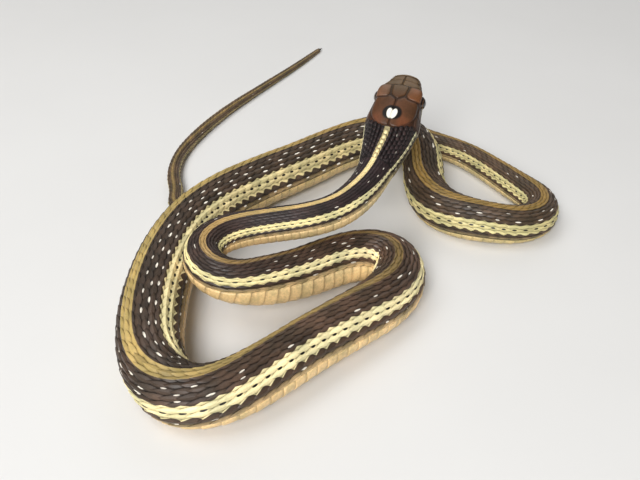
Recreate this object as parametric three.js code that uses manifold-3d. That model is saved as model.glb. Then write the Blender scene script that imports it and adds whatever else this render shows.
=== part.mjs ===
// A garter snake resting in loose coils with its head raised over them, modelled at life size as a still
// display figure. Millimetres, +Z up, floor at z = 0, origin under the middle of the whole figure.
import * as THREE from "three";
import { mergeVertices } from "three/addons/utils/BufferGeometryUtils.js";
import Module from "manifold-3d";

const wasm = await Module();
wasm.setup();

// Driving sizes
const GAP = 0.3; // left between neighbouring pieces
const MIDDLE = [7.9, 21.6]; // middle of the figure on the floor, taken off every route point
const FLOOR_SINK = [[0, 0.06], [340, 0.06], [372, 0.1]]; // share of the half-width that the floor presses flat,
// at distances along the body
const BELLY_DEPTH = 0.92; // depth below the widest line, as a share of the height above it
const BELLY_ROUNDNESS = 2.6; // 2 is an ellipse, more is a flatter belly
const BELLY_EDGE = THREE.MathUtils.degToRad(112); // from the middle of the back round to the belly plates
const EDGE_FADE = 0.12; // over which the plates fade out at that edge
const BEND_ROOM = 0.9; // how near the inside of a bend may come to the bend's centre
const BEND_EASE = 0.35; // last share of that room, where the flesh is pressed together
const PLATE_PITCH = [1, 0.3]; // of the belly plates: a length, and a share of the half-width
const PLATE_LIFT = [0.04, 0.03]; // of a plate's rear edge: a height, and a share of the half-width
const PLATE_CREST = 0.9; // where along its length a plate stands highest
const STEP = 1; // spacing of the samples along the body
const SMOOTHING = 6; // rounds of averaging of those samples

// The route of the body's middle line from inside the back of the head to the tip of the tail: x, y and the
// height of the belly above the floor. All distances along the body are taken from its first point.
const ROUTE = [
  [14.8, 10.8, 17.9], [13.9, 7.8, 16.8], [12.6, 4.6, 15.4], [10.9, 1, 14], [8, -4.6, 13.1], [3.5, -9, 12.1],
  [-2.3, -11.3, 11.6], [-8.6, -11.8, 10.9], [-14.7, -12.4, 10.3], [-19.7, -14.5, 9.8], [-22, -18.3, 9.3],
  [-20.7, -22, 8.6], [-17.7, -23.7, 7.4], [-13.7, -23.5, 5.8], [-9.3, -21.6, 4.1], [-3.4, -18, 2.4],
  [3, -13.2, 1], [8.8, -10.4, 0.2], [13.2, -10.6, 0], [15.4, -13.8, 0], [14.8, -18.8, 0], [11.4, -23.7, 0],
  [5.4, -28.8, 0], [-1.8, -34.5, 0], [-8.5, -40, 0], [-14.5, -44, 0], [-20.4, -45.3, 0], [-25.5, -43.3, 0],
  [-28.8, -38, 0], [-30.3, -30.5, 0], [-30.6, -21.5, 0], [-29.7, -11.8, 0], [-26.8, -1.5, 0],
  [-21.4, 6.8, 0], [-14, 13.6, 0], [-4.7, 20.6, 0], [4.8, 27.8, 0.4], [12.8, 30.8, 1.8], [19, 29.4, 3.5],
  [22.2, 24.4, 4.1], [23.6, 18.8, 3.2], [23.3, 12.8, 1.8], [25, 7.4, 0.6], [29.6, 3.5, 0], [36.3, 1.2, 0],
  [43.3, 1.2, 0], [48, 4.5, 0], [49, 9.5, 0], [45.9, 14.5, 0], [41.3, 21, 0], [35.8, 28.2, 0],
  [29.8, 33.3, 0], [23.5, 38, 0], [16.2, 40.2, 0], [8.5, 38.9, 0], [0.5, 34.8, 0], [-7, 29, 0],
  [-14.2, 23.2, 0], [-20.8, 18, 0], [-26, 12.8, 0], [-29.6, 8.8, 0], [-32.6, 10, 0], [-33, 15, 0],
  [-34.9, 22.5, 0], [-34.6, 31.5, 0], [-31, 42, 0], [-25, 53.6, 0], [-16.6, 66.5, 0], [-7.2, 80.5, 0],
  [0.6, 93.3, 0],
];

// Half of the body's width at distances along the body
const HALF_WIDTH = [
  [0, 5.4], [3, 5.1], [7, 4.35], [11, 3.65], [18, 3.4], [40, 3.35], [53, 3.65], [61, 3.95], [70, 4.65],
  [90, 5.1], [145, 5.15], [157, 5.4], [171, 6], [200, 5.9], [244, 5.4], [259, 4.9], [270, 4.5], [286, 4.6],
  [303, 3.9], [315, 3.5], [345, 2.95], [378, 2.4], [420, 1.65], [455, 1.38], [483, 1.02], [500, 0.8],
  [514, 0.5],
];

// Height above the widest line as a share of the half-width: the nape is flat, the body is round.
const TALLNESS = [[0, 0.68], [5, 0.8], [12, 0.98], [25, 1.02], [90, 1]];

// Lean of the back at distances along the body, in degrees, positive towards the animal's left
const LEAN = [
  [0, -4], [10, 1], [20, 7], [32, 4], [43, -2], [50, -6], [58, -5], [66, -17], [77, -22], [88, -20],
  [98, -2], [106, 9], [116, 27], [129, 36], [140, 29], [150, 3], [160, -31], [171, -36], [190, -32],
  [210, -23], [244, -19], [256, 8], [269, 26], [280, 8], [290, -11], [300, -6], [312, 7], [328, 21],
  [340, 16], [352, -10], [375, -22], [410, -16], [432, -8], [450, 18], [470, 28], [514, 28],
];

// Named lengths of the body and tail, each with the distance along the body where it ends. The last ends at
// the tip.
const LENGTHS = [
  ["neck", 17], ["forebody", 44], ["bend_1_under_neck", 64], ["trunk_1_raised", 90], ["bend_2_right", 109],
  ["trunk_2_front", 146], ["bend_3_left_front", 171], ["trunk_3_left", 206], ["trunk_4_back", 248],
  ["bend_4_behind_neck", 272], ["trunk_5_right", 301], ["bend_5_far_right", 322], ["trunk_6_vent", 342],
  ["tail_1_root", 372], ["tail_2_behind", 408], ["tail_3_turn", 434], ["tail_4", 474], ["tail_5_tip", null],
];
const BODY_SIDES = 16;
const TAIL_SIDES = 8;
const TAIL_START = 342;

// The head stands at the nape: forwards to the snout, out to each side, and up.
const NAPE = 3.2; // distance along the middle line
const HEAD_TURN = THREE.MathUtils.degToRad(18.5); // swing of the snout to the right of +Y
const HEAD_PITCH = THREE.MathUtils.degToRad(20); // rise of the snout
const HEAD_SIDES = 32;
const HEAD_STEP = 0.8; // between its rings
const BLUNT_LENGTH = 1.5; // end of the snout, where the rings are the lines' own stations

// Its lines at stations forwards from the nape: height of the crown, then out and up for the edge of the crown,
// the cheek, the upper lip, the lower lip and the chin's corner, and last the height of the chin's middle
const HEAD_LINES = [
  [0, 3.84, 3.77, 2.57, 4.98, 0.73, 5.05, -0.62, 4.7, -1.82, 2.98, -3.16, -3.53],
  [2.2, 3.95, 4.1, 2.75, 5.38, 0.7, 5.38, -0.66, 5, -1.88, 3.35, -3.16, -3.62],
  [4.6, 4, 4.3, 2.88, 5.52, 0.72, 5.5, -0.75, 5.1, -1.9, 3.5, -3.05, -3.55],
  [7, 3.95, 4.2, 2.9, 5.15, 0.8, 5.2, -0.9, 4.85, -1.97, 3.4, -2.9, -3.35],
  [8.8, 3.85, 4.32, 2.95, 4.78, 0.85, 4.98, -0.98, 4.62, -1.99, 3.25, -2.8, -3.2],
  [10.5, 3.68, 4.48, 3, 4.55, 0.85, 4.76, -1, 4.45, -1.97, 3.1, -2.68, -3.05],
  [11.9, 3.4, 4.3, 2.72, 4.3, 0.8, 4.5, -1, 4.2, -1.9, 2.95, -2.52, -2.88],
  [13, 3.05, 3.7, 2.32, 4.05, 0.68, 4.22, -0.94, 3.95, -1.78, 2.72, -2.38, -2.7],
  [14.3, 2.6, 3.15, 1.92, 3.7, 0.55, 3.85, -0.86, 3.58, -1.66, 2.45, -2.18, -2.48],
  [15.6, 2.18, 2.75, 1.52, 3.28, 0.4, 3.42, -0.77, 3.16, -1.52, 2.1, -1.96, -2.22],
  [16.6, 1.75, 2.38, 1.14, 2.85, 0.22, 3, -0.7, 2.75, -1.37, 1.75, -1.72, -1.92],
  [17.2, 1.25, 1.85, 0.72, 2.3, 0.03, 2.42, -0.68, 2.1, -1.2, 1.3, -1.44, -1.58],
  [17.6, 0.57, 1.15, 0.28, 1.55, -0.14, 1.65, -0.62, 1.3, -0.98, 0.75, -1.1, -1.16],
  [17.7, 0.15, 0.7, 0.02, 0.95, -0.22, 1, -0.55, 0.72, -0.8, 0.38, -0.86, -0.88],
];
const LIP_COLUMN = 6; // where a row holds how far the upper lip stands out
const CROWN_CURVE = 0.22; // share of the fall to the crown's edge that comes in its inner half
const CHIN_CURVE = 0.8; // the same below, towards the chin's corner
const MOUTH_LINE = [
  [2.6, -1], [4.6, -1.4], [7.5, -1.66], [10.5, -1.68], [13.5, -1.42], [15.5, -1.16], [17.7, -0.86],
  [19.2, -0.8],
];
const JAW_ARCH = 0.2; // rise of the jaw's upper face inside the mouth, as a share of its half-width
const JAW_BLOCK = { reach: 19.2, half: 7, depth: 9, columns: 10, step: 1.6 };
const EYE_RADIUS = 1.65;
const EYE_PLACE = [10.5, 4, 0.85]; // forwards, out, up
const EYE_SIDES = [18, 12];
const NOSTRIL_RADIUS = 0.36;
const NOSTRIL_PLACE = [15.9, 2.92, 0.72];
const NOSTRIL_SIDES = [10, 6];

const COLOURS = {
  head: { color: 0x4a2f1c, roughness: 0.45, metalness: 0 },
  jaw: { color: 0xc9b183, roughness: 0.5, metalness: 0 },
  eye: { color: 0x0b0908, roughness: 0.08, metalness: 0 },
  body: { color: 0x3a2e27, roughness: 0.55, metalness: 0 },
  tail: { color: 0x57503a, roughness: 0.55, metalness: 0 },
};

// Value at a place in a list of [place, value], eased between its rows so that no row shows as a corner
function along(profile, place) {
  if (place <= profile[0][0]) return profile[0][1];
  for (let i = 1; i < profile.length; i++) {
    const [from, low] = profile[i - 1];
    const [to, high] = profile[i];
    if (place > to) continue;
    const before = i > 1 ? profile[i - 2] : profile[i - 1];
    const after = i + 1 < profile.length ? profile[i + 1] : profile[i];
    const span = to - from;
    const slopeIn = (high - before[1]) / (to - before[0]);
    const slopeOut = (after[1] - low) / (after[0] - from);
    const t = (place - from) / span;
    const t2 = t * t;
    const t3 = t2 * t;
    return (
      (2 * t3 - 3 * t2 + 1) * low + (t3 - 2 * t2 + t) * span * slopeIn +
      (3 * t2 - 2 * t3) * high + (t3 - t2) * span * slopeOut
    );
  }
  return profile.at(-1)[1];
}

// The body's cross-section at an angle round from the middle of the back: [out to the animal's left, up]
function sectionPoint(angle, halfWidth, tallness) {
  const side = Math.sin(angle);
  const rise = Math.cos(angle);
  if (rise >= 0) return [halfWidth * side, halfWidth * tallness * rise];
  const power = 2 / BELLY_ROUNDNESS;
  return [
    halfWidth * Math.sign(side) * Math.abs(side) ** power,
    -halfWidth * tallness * BELLY_DEPTH * Math.abs(rise) ** power,
  ];
}

// How far a leaning cross-section reaches below its centre
function reachBelow(halfWidth, tallness, lean) {
  let lowest = 0;
  for (let degrees = 90; degrees <= 270; degrees += 6) {
    const [out, up] = sectionPoint(THREE.MathUtils.degToRad(degrees), halfWidth, tallness);
    lowest = Math.max(lowest, Math.sin(lean) * out - Math.cos(lean) * up);
  }
  return lowest;
}

// The middle line as evenly spaced, smoothed samples with their own frames
function traceBody() {
  const flat = new THREE.CatmullRomCurve3(
    ROUTE.map(([x, y, lift]) => new THREE.Vector3(x - MIDDLE[0], y - MIDDLE[1], lift)),
    false,
    "centripetal",
  );
  flat.arcLengthDivisions = 3000;
  const count = Math.round(flat.getLength() / STEP);
  let points = flat.getSpacedPoints(count);
  for (let round = 0; round < SMOOTHING; round++) {
    points = points.map((point, i) => {
      if (i === 0 || i === count) return point;
      return points[i - 1].clone().add(points[i + 1]).addScaledVector(point, 2).multiplyScalar(0.25);
    });
  }
  const distance = [0];
  for (let i = 1; i <= count; i++) distance.push(distance[i - 1] + points[i].distanceTo(points[i - 1]));
  const samples = points.map((point, i) => {
    const at = distance[i];
    const halfWidth = along(HALF_WIDTH, at);
    const tallness = along(TALLNESS, at);
    const lean = THREE.MathUtils.degToRad(along(LEAN, at));
    const rest = reachBelow(halfWidth, tallness, lean) - along(FLOOR_SINK, at) * halfWidth;
    return { at, halfWidth, tallness, lean, place: new THREE.Vector3(point.x, point.y, point.z + rest) };
  });
  samples.forEach((sample, i) => {
    const before = samples[Math.max(i - 1, 0)];
    const after = samples[Math.min(i + 1, count)];
    sample.tangent = after.place.clone().sub(before.place).normalize();
  });
  samples.forEach((sample, i) => {
    const before = samples[Math.max(i - 2, 0)];
    const after = samples[Math.min(i + 2, count)];
    sample.bend = after.tangent.clone().sub(before.tangent).divideScalar(after.at - before.at);
  });
  return samples;
}

const BODY = traceBody();
const BODY_LENGTH = BODY.at(-1).at;

// The body at any distance along it: centre, frame, sizes and bend
function bodyAt(distance) {
  const place = Math.min(Math.max(distance / (BODY_LENGTH / (BODY.length - 1)), 0), BODY.length - 1.0001);
  const i = Math.floor(place);
  const t = place - i;
  const a = BODY[i];
  const b = BODY[i + 1];
  const blend = (key) => a[key] + (b[key] - a[key]) * t;
  const tangent = a.tangent.clone().lerp(b.tangent, t).normalize();
  const upright = new THREE.Vector3(0, 0, 1).addScaledVector(tangent, -tangent.z).normalize();
  const level = tangent.clone().cross(upright);
  const lean = blend("lean");
  const up = upright.clone().multiplyScalar(Math.cos(lean)).addScaledVector(level, Math.sin(lean));
  const left = level.multiplyScalar(Math.cos(lean)).addScaledVector(upright, -Math.sin(lean));
  return {
    centre: a.place.clone().lerp(b.place, t),
    up,
    left,
    lean,
    bend: a.bend.clone().lerp(b.bend, t),
    halfWidth: blend("halfWidth"),
    tallness: blend("tallness"),
  };
}

// How far a point reaches into the inside of a bend, eased off before the bend's centre
function easedReach(reach, room) {
  const free = room * (1 - BEND_EASE);
  if (reach <= free) return reach;
  return free + (room - free) * Math.tanh((reach - free) / (room - free));
}

// One ring of points round the body, with a side facing the floor. Relief lifts the belly plates.
function bodyRing(distance, sides, relief) {
  const body = bodyAt(distance);
  const sharpness = Math.max(body.bend.length(), 1e-6);
  const inwards = body.bend.clone().normalize();
  return Array.from({ length: sides }, (_, i) => {
    const angle = Math.PI - body.lean + ((i + 0.5) / sides) * Math.PI * 2;
    const belly = (Math.cos(BELLY_EDGE) - Math.cos(angle)) / EDGE_FADE;
    const raised = relief * THREE.MathUtils.clamp(belly, 0, 1);
    const [out, rise] = sectionPoint(angle, body.halfWidth + raised, body.tallness);
    const offset = body.left.clone().multiplyScalar(out).addScaledVector(body.up, rise);
    const reach = offset.dot(inwards);
    offset.addScaledVector(inwards, easedReach(reach, BEND_ROOM / sharpness) - reach);
    const point = body.centre.clone().add(offset);
    point.z = Math.max(point.z, 0);
    return point;
  });
}

// A closed mesh through rings of equal counts, with a fan of triangles on each end
function loft(rings) {
  const sides = rings[0].length;
  const positions = [];
  const centreOf = (ring) =>
    ring.reduce((sum, point) => sum.add(point), new THREE.Vector3()).divideScalar(sides);
  rings.forEach((ring) => ring.forEach((point) => positions.push(point.x, point.y, point.z)));
  const index = [];
  for (let r = 0; r + 1 < rings.length; r++) {
    for (let i = 0; i < sides; i++) {
      const a = r * sides + i;
      const b = r * sides + ((i + 1) % sides);
      index.push(a, b, b + sides, a, b + sides, a + sides);
    }
  }
  const first = centreOf(rings[0]);
  const last = centreOf(rings.at(-1));
  const tail = (rings.length - 1) * sides;
  positions.push(first.x, first.y, first.z, last.x, last.y, last.z);
  for (let i = 0; i < sides; i++) {
    const next = (i + 1) % sides;
    index.push(rings.length * sides, next, i);
    index.push(rings.length * sides + 1, tail + i, tail + next);
  }
  const geometry = new THREE.BufferGeometry();
  geometry.setAttribute("position", new THREE.Float32BufferAttribute(positions, 3));
  geometry.setIndex(index);
  return geometry;
}

// A length and a share of the half-width, taken together
const sized = ([length, share], distance) => length + share * along(HALF_WIDTH, distance);

// Where the belly plates of a length begin, evenly shared out between its two ends
function plateEdges(from, to) {
  const count = Math.round((to - from) / sized(PLATE_PITCH, (from + to) / 2));
  return Array.from({ length: count + 1 }, (_, i) => from + ((to - from) * i) / count);
}

// One length of the body or tail, with the belly plates stepping out towards each rear edge
function bodyLength(from, to, sides) {
  const rings = [];
  const edges = plateEdges(from, to);
  for (let i = 0; i + 1 < edges.length; i++) {
    const crest = edges[i] + (edges[i + 1] - edges[i]) * PLATE_CREST;
    rings.push(bodyRing(edges[i], sides, 0), bodyRing(crest, sides, sized(PLATE_LIFT, crest)));
  }
  rings.push(bodyRing(to, sides, 0));
  return loft(rings);
}

// A geometry as a solid that can be cut and joined
function solid(geometry) {
  const bare = geometry.clone();
  bare.deleteAttribute("normal");
  bare.deleteAttribute("uv");
  const merged = mergeVertices(bare, 1e-4);
  return new wasm.Manifold(
    new wasm.Mesh({
      numProp: 3,
      vertProperties: merged.attributes.position.array,
      triVerts: new Uint32Array(merged.index.array),
    }),
  );
}

// The largest closed body of a solid, as a geometry again
function geometryOf(shape) {
  const largest = shape.decompose().sort((a, b) => b.volume() - a.volume())[0];
  const mesh = largest.getMesh();
  const geometry = new THREE.BufferGeometry();
  geometry.setAttribute("position", new THREE.BufferAttribute(new Float32Array(mesh.vertProperties), 3));
  geometry.setIndex(new THREE.BufferAttribute(new Uint32Array(mesh.triVerts), 1));
  return geometry;
}

// A ball on both sides of the head
function pairOf(radius, sides, [forwards, out, up]) {
  return [1, -1].map((side) => {
    const ball = new THREE.SphereGeometry(radius, ...sides);
    ball.translate(forwards, side * out, up);
    return solid(ball);
  });
}

const headLine = (column, forwards) => along(HEAD_LINES.map((row) => [row[0], row[column]]), forwards);

// The head's outline at one station: through its lines on one side, and back through them on the other
function headRing(forwards) {
  const [, crown, ...rest] = HEAD_LINES[0].map((_, column) => headLine(column, forwards));
  const chin = rest.pop();
  const pairs = [0, 2, 4, 6, 8].map((column) => rest.slice(column, column + 2));
  const [edge, corner] = [pairs[0], pairs.at(-1)];
  const half = [
    [edge[0] / 2, crown + (edge[1] - crown) * CROWN_CURVE],
    ...pairs,
    [corner[0] / 2, corner[1] + (chin - corner[1]) * CHIN_CURVE],
  ];
  const mirrored = half.map(([out, up]) => [-out, up]).reverse();
  const corners = [[0, crown], ...half, [0, chin], ...mirrored];
  const outline = new THREE.CatmullRomCurve3(
    corners.map(([out, up]) => new THREE.Vector3(forwards, out, up)),
    true,
    "centripetal",
  );
  return Array.from({ length: HEAD_SIDES }, (_, i) => outline.getPoint(i / HEAD_SIDES));
}

// Stations from the snout back to the nape
function headStations() {
  const snout = HEAD_LINES.at(-1)[0];
  const blunt = HEAD_LINES.map((row) => row[0]).filter((forwards) => forwards > snout - BLUNT_LENGTH);
  const shoulder = blunt[0];
  const count = Math.round((shoulder - GAP / 2) / HEAD_STEP);
  const even = Array.from({ length: count }, (_, i) => GAP / 2 + ((shoulder - GAP / 2) * i) / count);
  return [...even, ...blunt].reverse();
}

// The space below the mouth line and ahead of the jaw joint, grown by a margin or shrunk by a negative one. Its
// upper face is arched, so that the jaw fits up into the head.
function jawSpace(margin) {
  const { reach, half, depth, columns, step } = JAW_BLOCK;
  const corner = MOUTH_LINE[0][0];
  const count = Math.ceil((reach - corner) / step);
  const rings = [];
  for (let i = count; i >= 0; i--) {
    const forwards = corner + ((reach - corner) * i) / count;
    const place = forwards - (i === 0 ? margin : 0);
    const mouth = along(MOUTH_LINE, forwards) + margin;
    const lipOut = headLine(LIP_COLUMN, forwards);
    const roof = Array.from({ length: columns + 1 }, (_, j) => {
      const out = half - (2 * half * j) / columns;
      const arch = JAW_ARCH * lipOut * Math.max(0, 1 - (out / lipOut) ** 2);
      return new THREE.Vector3(place, out, mouth + arch);
    });
    const floor = [-half, half].map((out) => new THREE.Vector3(roof[0].x, out, -depth));
    rings.push([...roof.reverse(), ...floor.reverse()]);
  }
  return solid(loft(rings));
}

function makeHead() {
  const sockets = pairOf(EYE_RADIUS + GAP, EYE_SIDES, EYE_PLACE);
  const nostrils = pairOf(NOSTRIL_RADIUS, NOSTRIL_SIDES, NOSTRIL_PLACE);
  let whole = solid(loft(headStations().map(headRing)));
  [...sockets, ...nostrils].forEach((hollow) => (whole = whole.subtract(hollow)));
  return {
    head: geometryOf(whole.subtract(jawSpace(GAP / 2))),
    jaw: geometryOf(whole.intersect(jawSpace(-GAP / 2))),
  };
}

const material = (name) => new THREE.MeshStandardMaterial(COLOURS[name]);

function named(name, geometry, finish) {
  const mesh = new THREE.Mesh(geometry, material(finish));
  mesh.name = name;
  return mesh;
}

// The head group stands at the nape, turned towards the snout's direction.
function headGroup() {
  const group = new THREE.Group();
  const { head, jaw } = makeHead();
  group.add(named("head", head, "head"), named("lower_jaw", jaw, "jaw"));
  [["eye_left", 1], ["eye_right", -1]].forEach(([name, side]) => {
    const eye = named(name, new THREE.SphereGeometry(EYE_RADIUS, ...EYE_SIDES), "eye");
    eye.position.set(EYE_PLACE[0], side * EYE_PLACE[1], EYE_PLACE[2]);
    group.add(eye);
  });
  group.position.copy(bodyAt(NAPE).centre);
  group.rotation.set(0, -HEAD_PITCH, Math.PI / 2 - HEAD_TURN, "ZYX");
  return group;
}

const snake = new THREE.Group();
snake.add(headGroup());
let start = NAPE + GAP / 2;
LENGTHS.forEach(([name, end]) => {
  const onTail = start >= TAIL_START;
  const stop = end === null ? BODY_LENGTH : end - GAP / 2;
  snake.add(named(name, bodyLength(start, stop, onTail ? TAIL_SIDES : BODY_SIDES), onTail ? "tail" : "body"));
  start = stop + GAP;
});

export default snake;
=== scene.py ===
# A garter snake in loose coils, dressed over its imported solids: one skin, keeled scales, belly plates, head
# shields and glossy eyes. Lengths are in millimetres until a mesh is made.
import math
from functools import partialmethod

import bpy
import numpy as np
from mathutils import Matrix, Vector


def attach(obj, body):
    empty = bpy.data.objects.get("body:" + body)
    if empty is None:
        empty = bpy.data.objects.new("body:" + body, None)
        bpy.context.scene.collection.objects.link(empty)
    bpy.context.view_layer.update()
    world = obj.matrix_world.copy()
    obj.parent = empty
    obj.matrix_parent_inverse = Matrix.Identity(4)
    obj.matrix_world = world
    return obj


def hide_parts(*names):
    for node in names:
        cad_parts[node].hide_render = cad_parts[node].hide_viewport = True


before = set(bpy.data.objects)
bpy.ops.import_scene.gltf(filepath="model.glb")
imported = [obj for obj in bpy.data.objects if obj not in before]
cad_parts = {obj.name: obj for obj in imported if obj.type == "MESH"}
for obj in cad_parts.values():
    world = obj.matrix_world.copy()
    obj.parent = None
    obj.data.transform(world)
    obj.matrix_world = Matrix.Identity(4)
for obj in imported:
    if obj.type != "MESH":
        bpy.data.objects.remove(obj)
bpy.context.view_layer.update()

MM = 0.001
RNG = np.random.default_rng(11)

# The figure's driving sizes, as in the solids
MIDDLE = [7.9, 21.6]
FLOOR_SINK = [[0, 0.06], [340, 0.06], [372, 0.1]]
BELLY_DEPTH = 0.92
BELLY_ROUNDNESS = 2.6
BEND_ROOM = 0.9
BEND_EASE = 0.35
STEP = 1.0
SMOOTHING = 6

# How far the belly plates that the body rests on are lifted off the solids' surface
REST_LIFT = 0.1

# Middle line from inside the back of the head to the tip of the tail: x, y and the height of the belly above
# the floor. Distances along the body are taken from its first point, and the head joins it at the nape.
NAPE = 3.2
ROUTE = [
    [14.8, 10.8, 17.9], [13.9, 7.8, 16.8], [12.6, 4.6, 15.4], [10.9, 1, 14], [8, -4.6, 13.1], [3.5, -9, 12.1],
    [-2.3, -11.3, 11.6], [-8.6, -11.8, 10.9], [-14.7, -12.4, 10.3], [-19.7, -14.5, 9.8], [-22, -18.3, 9.3],
    [-20.7, -22, 8.6], [-17.7, -23.7, 7.4], [-13.7, -23.5, 5.8], [-9.3, -21.6, 4.1], [-3.4, -18, 2.4],
    [3, -13.2, 1], [8.8, -10.4, 0.2], [13.2, -10.6, 0], [15.4, -13.8, 0], [14.8, -18.8, 0], [11.4, -23.7, 0],
    [5.4, -28.8, 0], [-1.8, -34.5, 0], [-8.5, -40, 0], [-14.5, -44, 0], [-20.4, -45.3, 0], [-25.5, -43.3, 0],
    [-28.8, -38, 0], [-30.3, -30.5, 0], [-30.6, -21.5, 0], [-29.7, -11.8, 0], [-26.8, -1.5, 0],
    [-21.4, 6.8, 0], [-14, 13.6, 0], [-4.7, 20.6, 0], [4.8, 27.8, 0.4], [12.8, 30.8, 1.8], [19, 29.4, 3.5],
    [22.2, 24.4, 4.1], [23.6, 18.8, 3.2], [23.3, 12.8, 1.8], [25, 7.4, 0.6], [29.6, 3.5, 0], [36.3, 1.2, 0],
    [43.3, 1.2, 0], [48, 4.5, 0], [49, 9.5, 0], [45.9, 14.5, 0], [41.3, 21, 0], [35.8, 28.2, 0],
    [29.8, 33.3, 0], [23.5, 38, 0], [16.2, 40.2, 0], [8.5, 38.9, 0], [0.5, 34.8, 0], [-7, 29, 0],
    [-14.2, 23.2, 0], [-20.8, 18, 0], [-26, 12.8, 0], [-29.6, 8.8, 0], [-32.6, 10, 0], [-33, 15, 0],
    [-34.9, 22.5, 0], [-34.6, 31.5, 0], [-31, 42, 0], [-25, 53.6, 0], [-16.6, 66.5, 0], [-7.2, 80.5, 0],
    [0.6, 93.3, 0],
]

# At distances along the body: half of the width, height of the back over it, and lean of the back in degrees
HALF_WIDTH = [
    [0, 5.4], [3, 5.1], [7, 4.35], [11, 3.65], [18, 3.4], [40, 3.35], [53, 3.65], [61, 3.95], [70, 4.65],
    [90, 5.1], [145, 5.15], [157, 5.4], [171, 6], [200, 5.9], [244, 5.4], [259, 4.9], [270, 4.5], [286, 4.6],
    [303, 3.9], [315, 3.5], [345, 2.95], [378, 2.4], [420, 1.65], [455, 1.38], [483, 1.02], [500, 0.8],
    [514, 0.5],
]
TALLNESS = [[0, 0.68], [5, 0.8], [12, 0.98], [25, 1.02], [90, 1]]
LEAN = [
    [0, -4], [10, 1], [20, 7], [32, 4], [43, -2], [50, -6], [58, -5], [66, -17], [77, -22], [88, -20],
    [98, -2], [106, 9], [116, 27], [129, 36], [140, 29], [150, 3], [160, -31], [171, -36], [190, -32],
    [210, -23], [244, -19], [256, 8], [269, 26], [280, 8], [290, -11], [300, -6], [312, 7], [328, 21],
    [340, 16], [352, -10], [375, -22], [410, -16], [432, -8], [450, 18], [470, 28], [514, 28],
]

# Head, forwards from the nape: height of the crown, then out and up for the edge of the crown, the cheek, the
# upper lip, the lower lip and the chin's corner, and last the height of the chin's middle
HEAD_TURN = 18.5
HEAD_PITCH = 20
HEAD_LINES = [
    [0, 3.84, 3.77, 2.57, 4.98, 0.73, 5.05, -0.62, 4.7, -1.82, 2.98, -3.16, -3.53],
    [2.2, 3.95, 4.1, 2.75, 5.38, 0.7, 5.38, -0.66, 5, -1.88, 3.35, -3.16, -3.62],
    [4.6, 4, 4.3, 2.88, 5.52, 0.72, 5.5, -0.75, 5.1, -1.9, 3.5, -3.05, -3.55],
    [7, 3.95, 4.2, 2.9, 5.15, 0.8, 5.2, -0.9, 4.85, -1.97, 3.4, -2.9, -3.35],
    [8.8, 3.85, 4.32, 2.95, 4.78, 0.85, 4.98, -0.98, 4.62, -1.99, 3.25, -2.8, -3.2],
    [10.5, 3.68, 4.48, 3, 4.55, 0.85, 4.76, -1, 4.45, -1.97, 3.1, -2.68, -3.05],
    [11.9, 3.4, 4.3, 2.72, 4.3, 0.8, 4.5, -1, 4.2, -1.9, 2.95, -2.52, -2.88],
    [13, 3.05, 3.7, 2.32, 4.05, 0.68, 4.22, -0.94, 3.95, -1.78, 2.72, -2.38, -2.7],
    [14.3, 2.6, 3.15, 1.92, 3.7, 0.55, 3.85, -0.86, 3.58, -1.66, 2.45, -2.18, -2.48],
    [15.6, 2.18, 2.75, 1.52, 3.28, 0.4, 3.42, -0.77, 3.16, -1.52, 2.1, -1.96, -2.22],
    [16.6, 1.75, 2.38, 1.14, 2.85, 0.22, 3, -0.7, 2.75, -1.37, 1.75, -1.72, -1.92],
    [17.2, 1.25, 1.85, 0.72, 2.3, 0.03, 2.42, -0.68, 2.1, -1.2, 1.3, -1.44, -1.58],
    [17.6, 0.57, 1.15, 0.28, 1.55, -0.14, 1.65, -0.62, 1.3, -0.98, 0.75, -1.1, -1.16],
    [17.7, 0.15, 0.7, 0.02, 0.95, -0.22, 1, -0.55, 0.72, -0.8, 0.38, -0.86, -0.88],
]
CROWN_CURVE = 0.22
CHIN_CURVE = 0.8
MOUTH_LINE = [
    [2.6, -1], [4.6, -1.4], [7.5, -1.66], [10.5, -1.68], [13.5, -1.42], [15.5, -1.16], [17.7, -0.86],
]
HEAD_LENGTH = HEAD_LINES[-1][0]
HEAD_CORNERS = 16
EYE_RADIUS = 1.65
EYE_PLACE = [10.5, 4, 0.85]
NOSTRIL_PLACE = [15.9, 2.92, 0.72]
NOSTRIL_RADIUS = 0.34

# Where round the nape, in degrees from the middle of the back, the head's lines arrive
CORNER_ANGLES = [[0, 0], [1, 24], [2, 48], [3, 79], [4, 96], [5, 115], [6, 150], [7, 165], [8, 180]]

# Scales: pitch along the body, pitch between rows in degrees, and the edge of the belly plates in degrees
SCALE_PITCH = [
    [-8, 1.05], [3, 1.12], [20, 1.35], [53, 1.65], [70, 2.25], [90, 2.35], [171, 2.25], [200, 2.25],
    [244, 2.25], [270, 2.05], [300, 1.85], [345, 1.7], [420, 1.6], [455, 1.45], [483, 1.3], [514, 1.1],
]
ROW_PITCH = [
    [-8, 11.2], [0, 11], [15, 10], [25, 9.8], [95, 9.8], [120, 11.8], [345, 11.8], [400, 16], [455, 23],
    [514, 34],
]
BELLY_EDGE = [[-8, 108], [0, 104], [15, 96], [25, 93.5], [95, 93.5], [120, 112], [514, 112]]
VENT = 342


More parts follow.
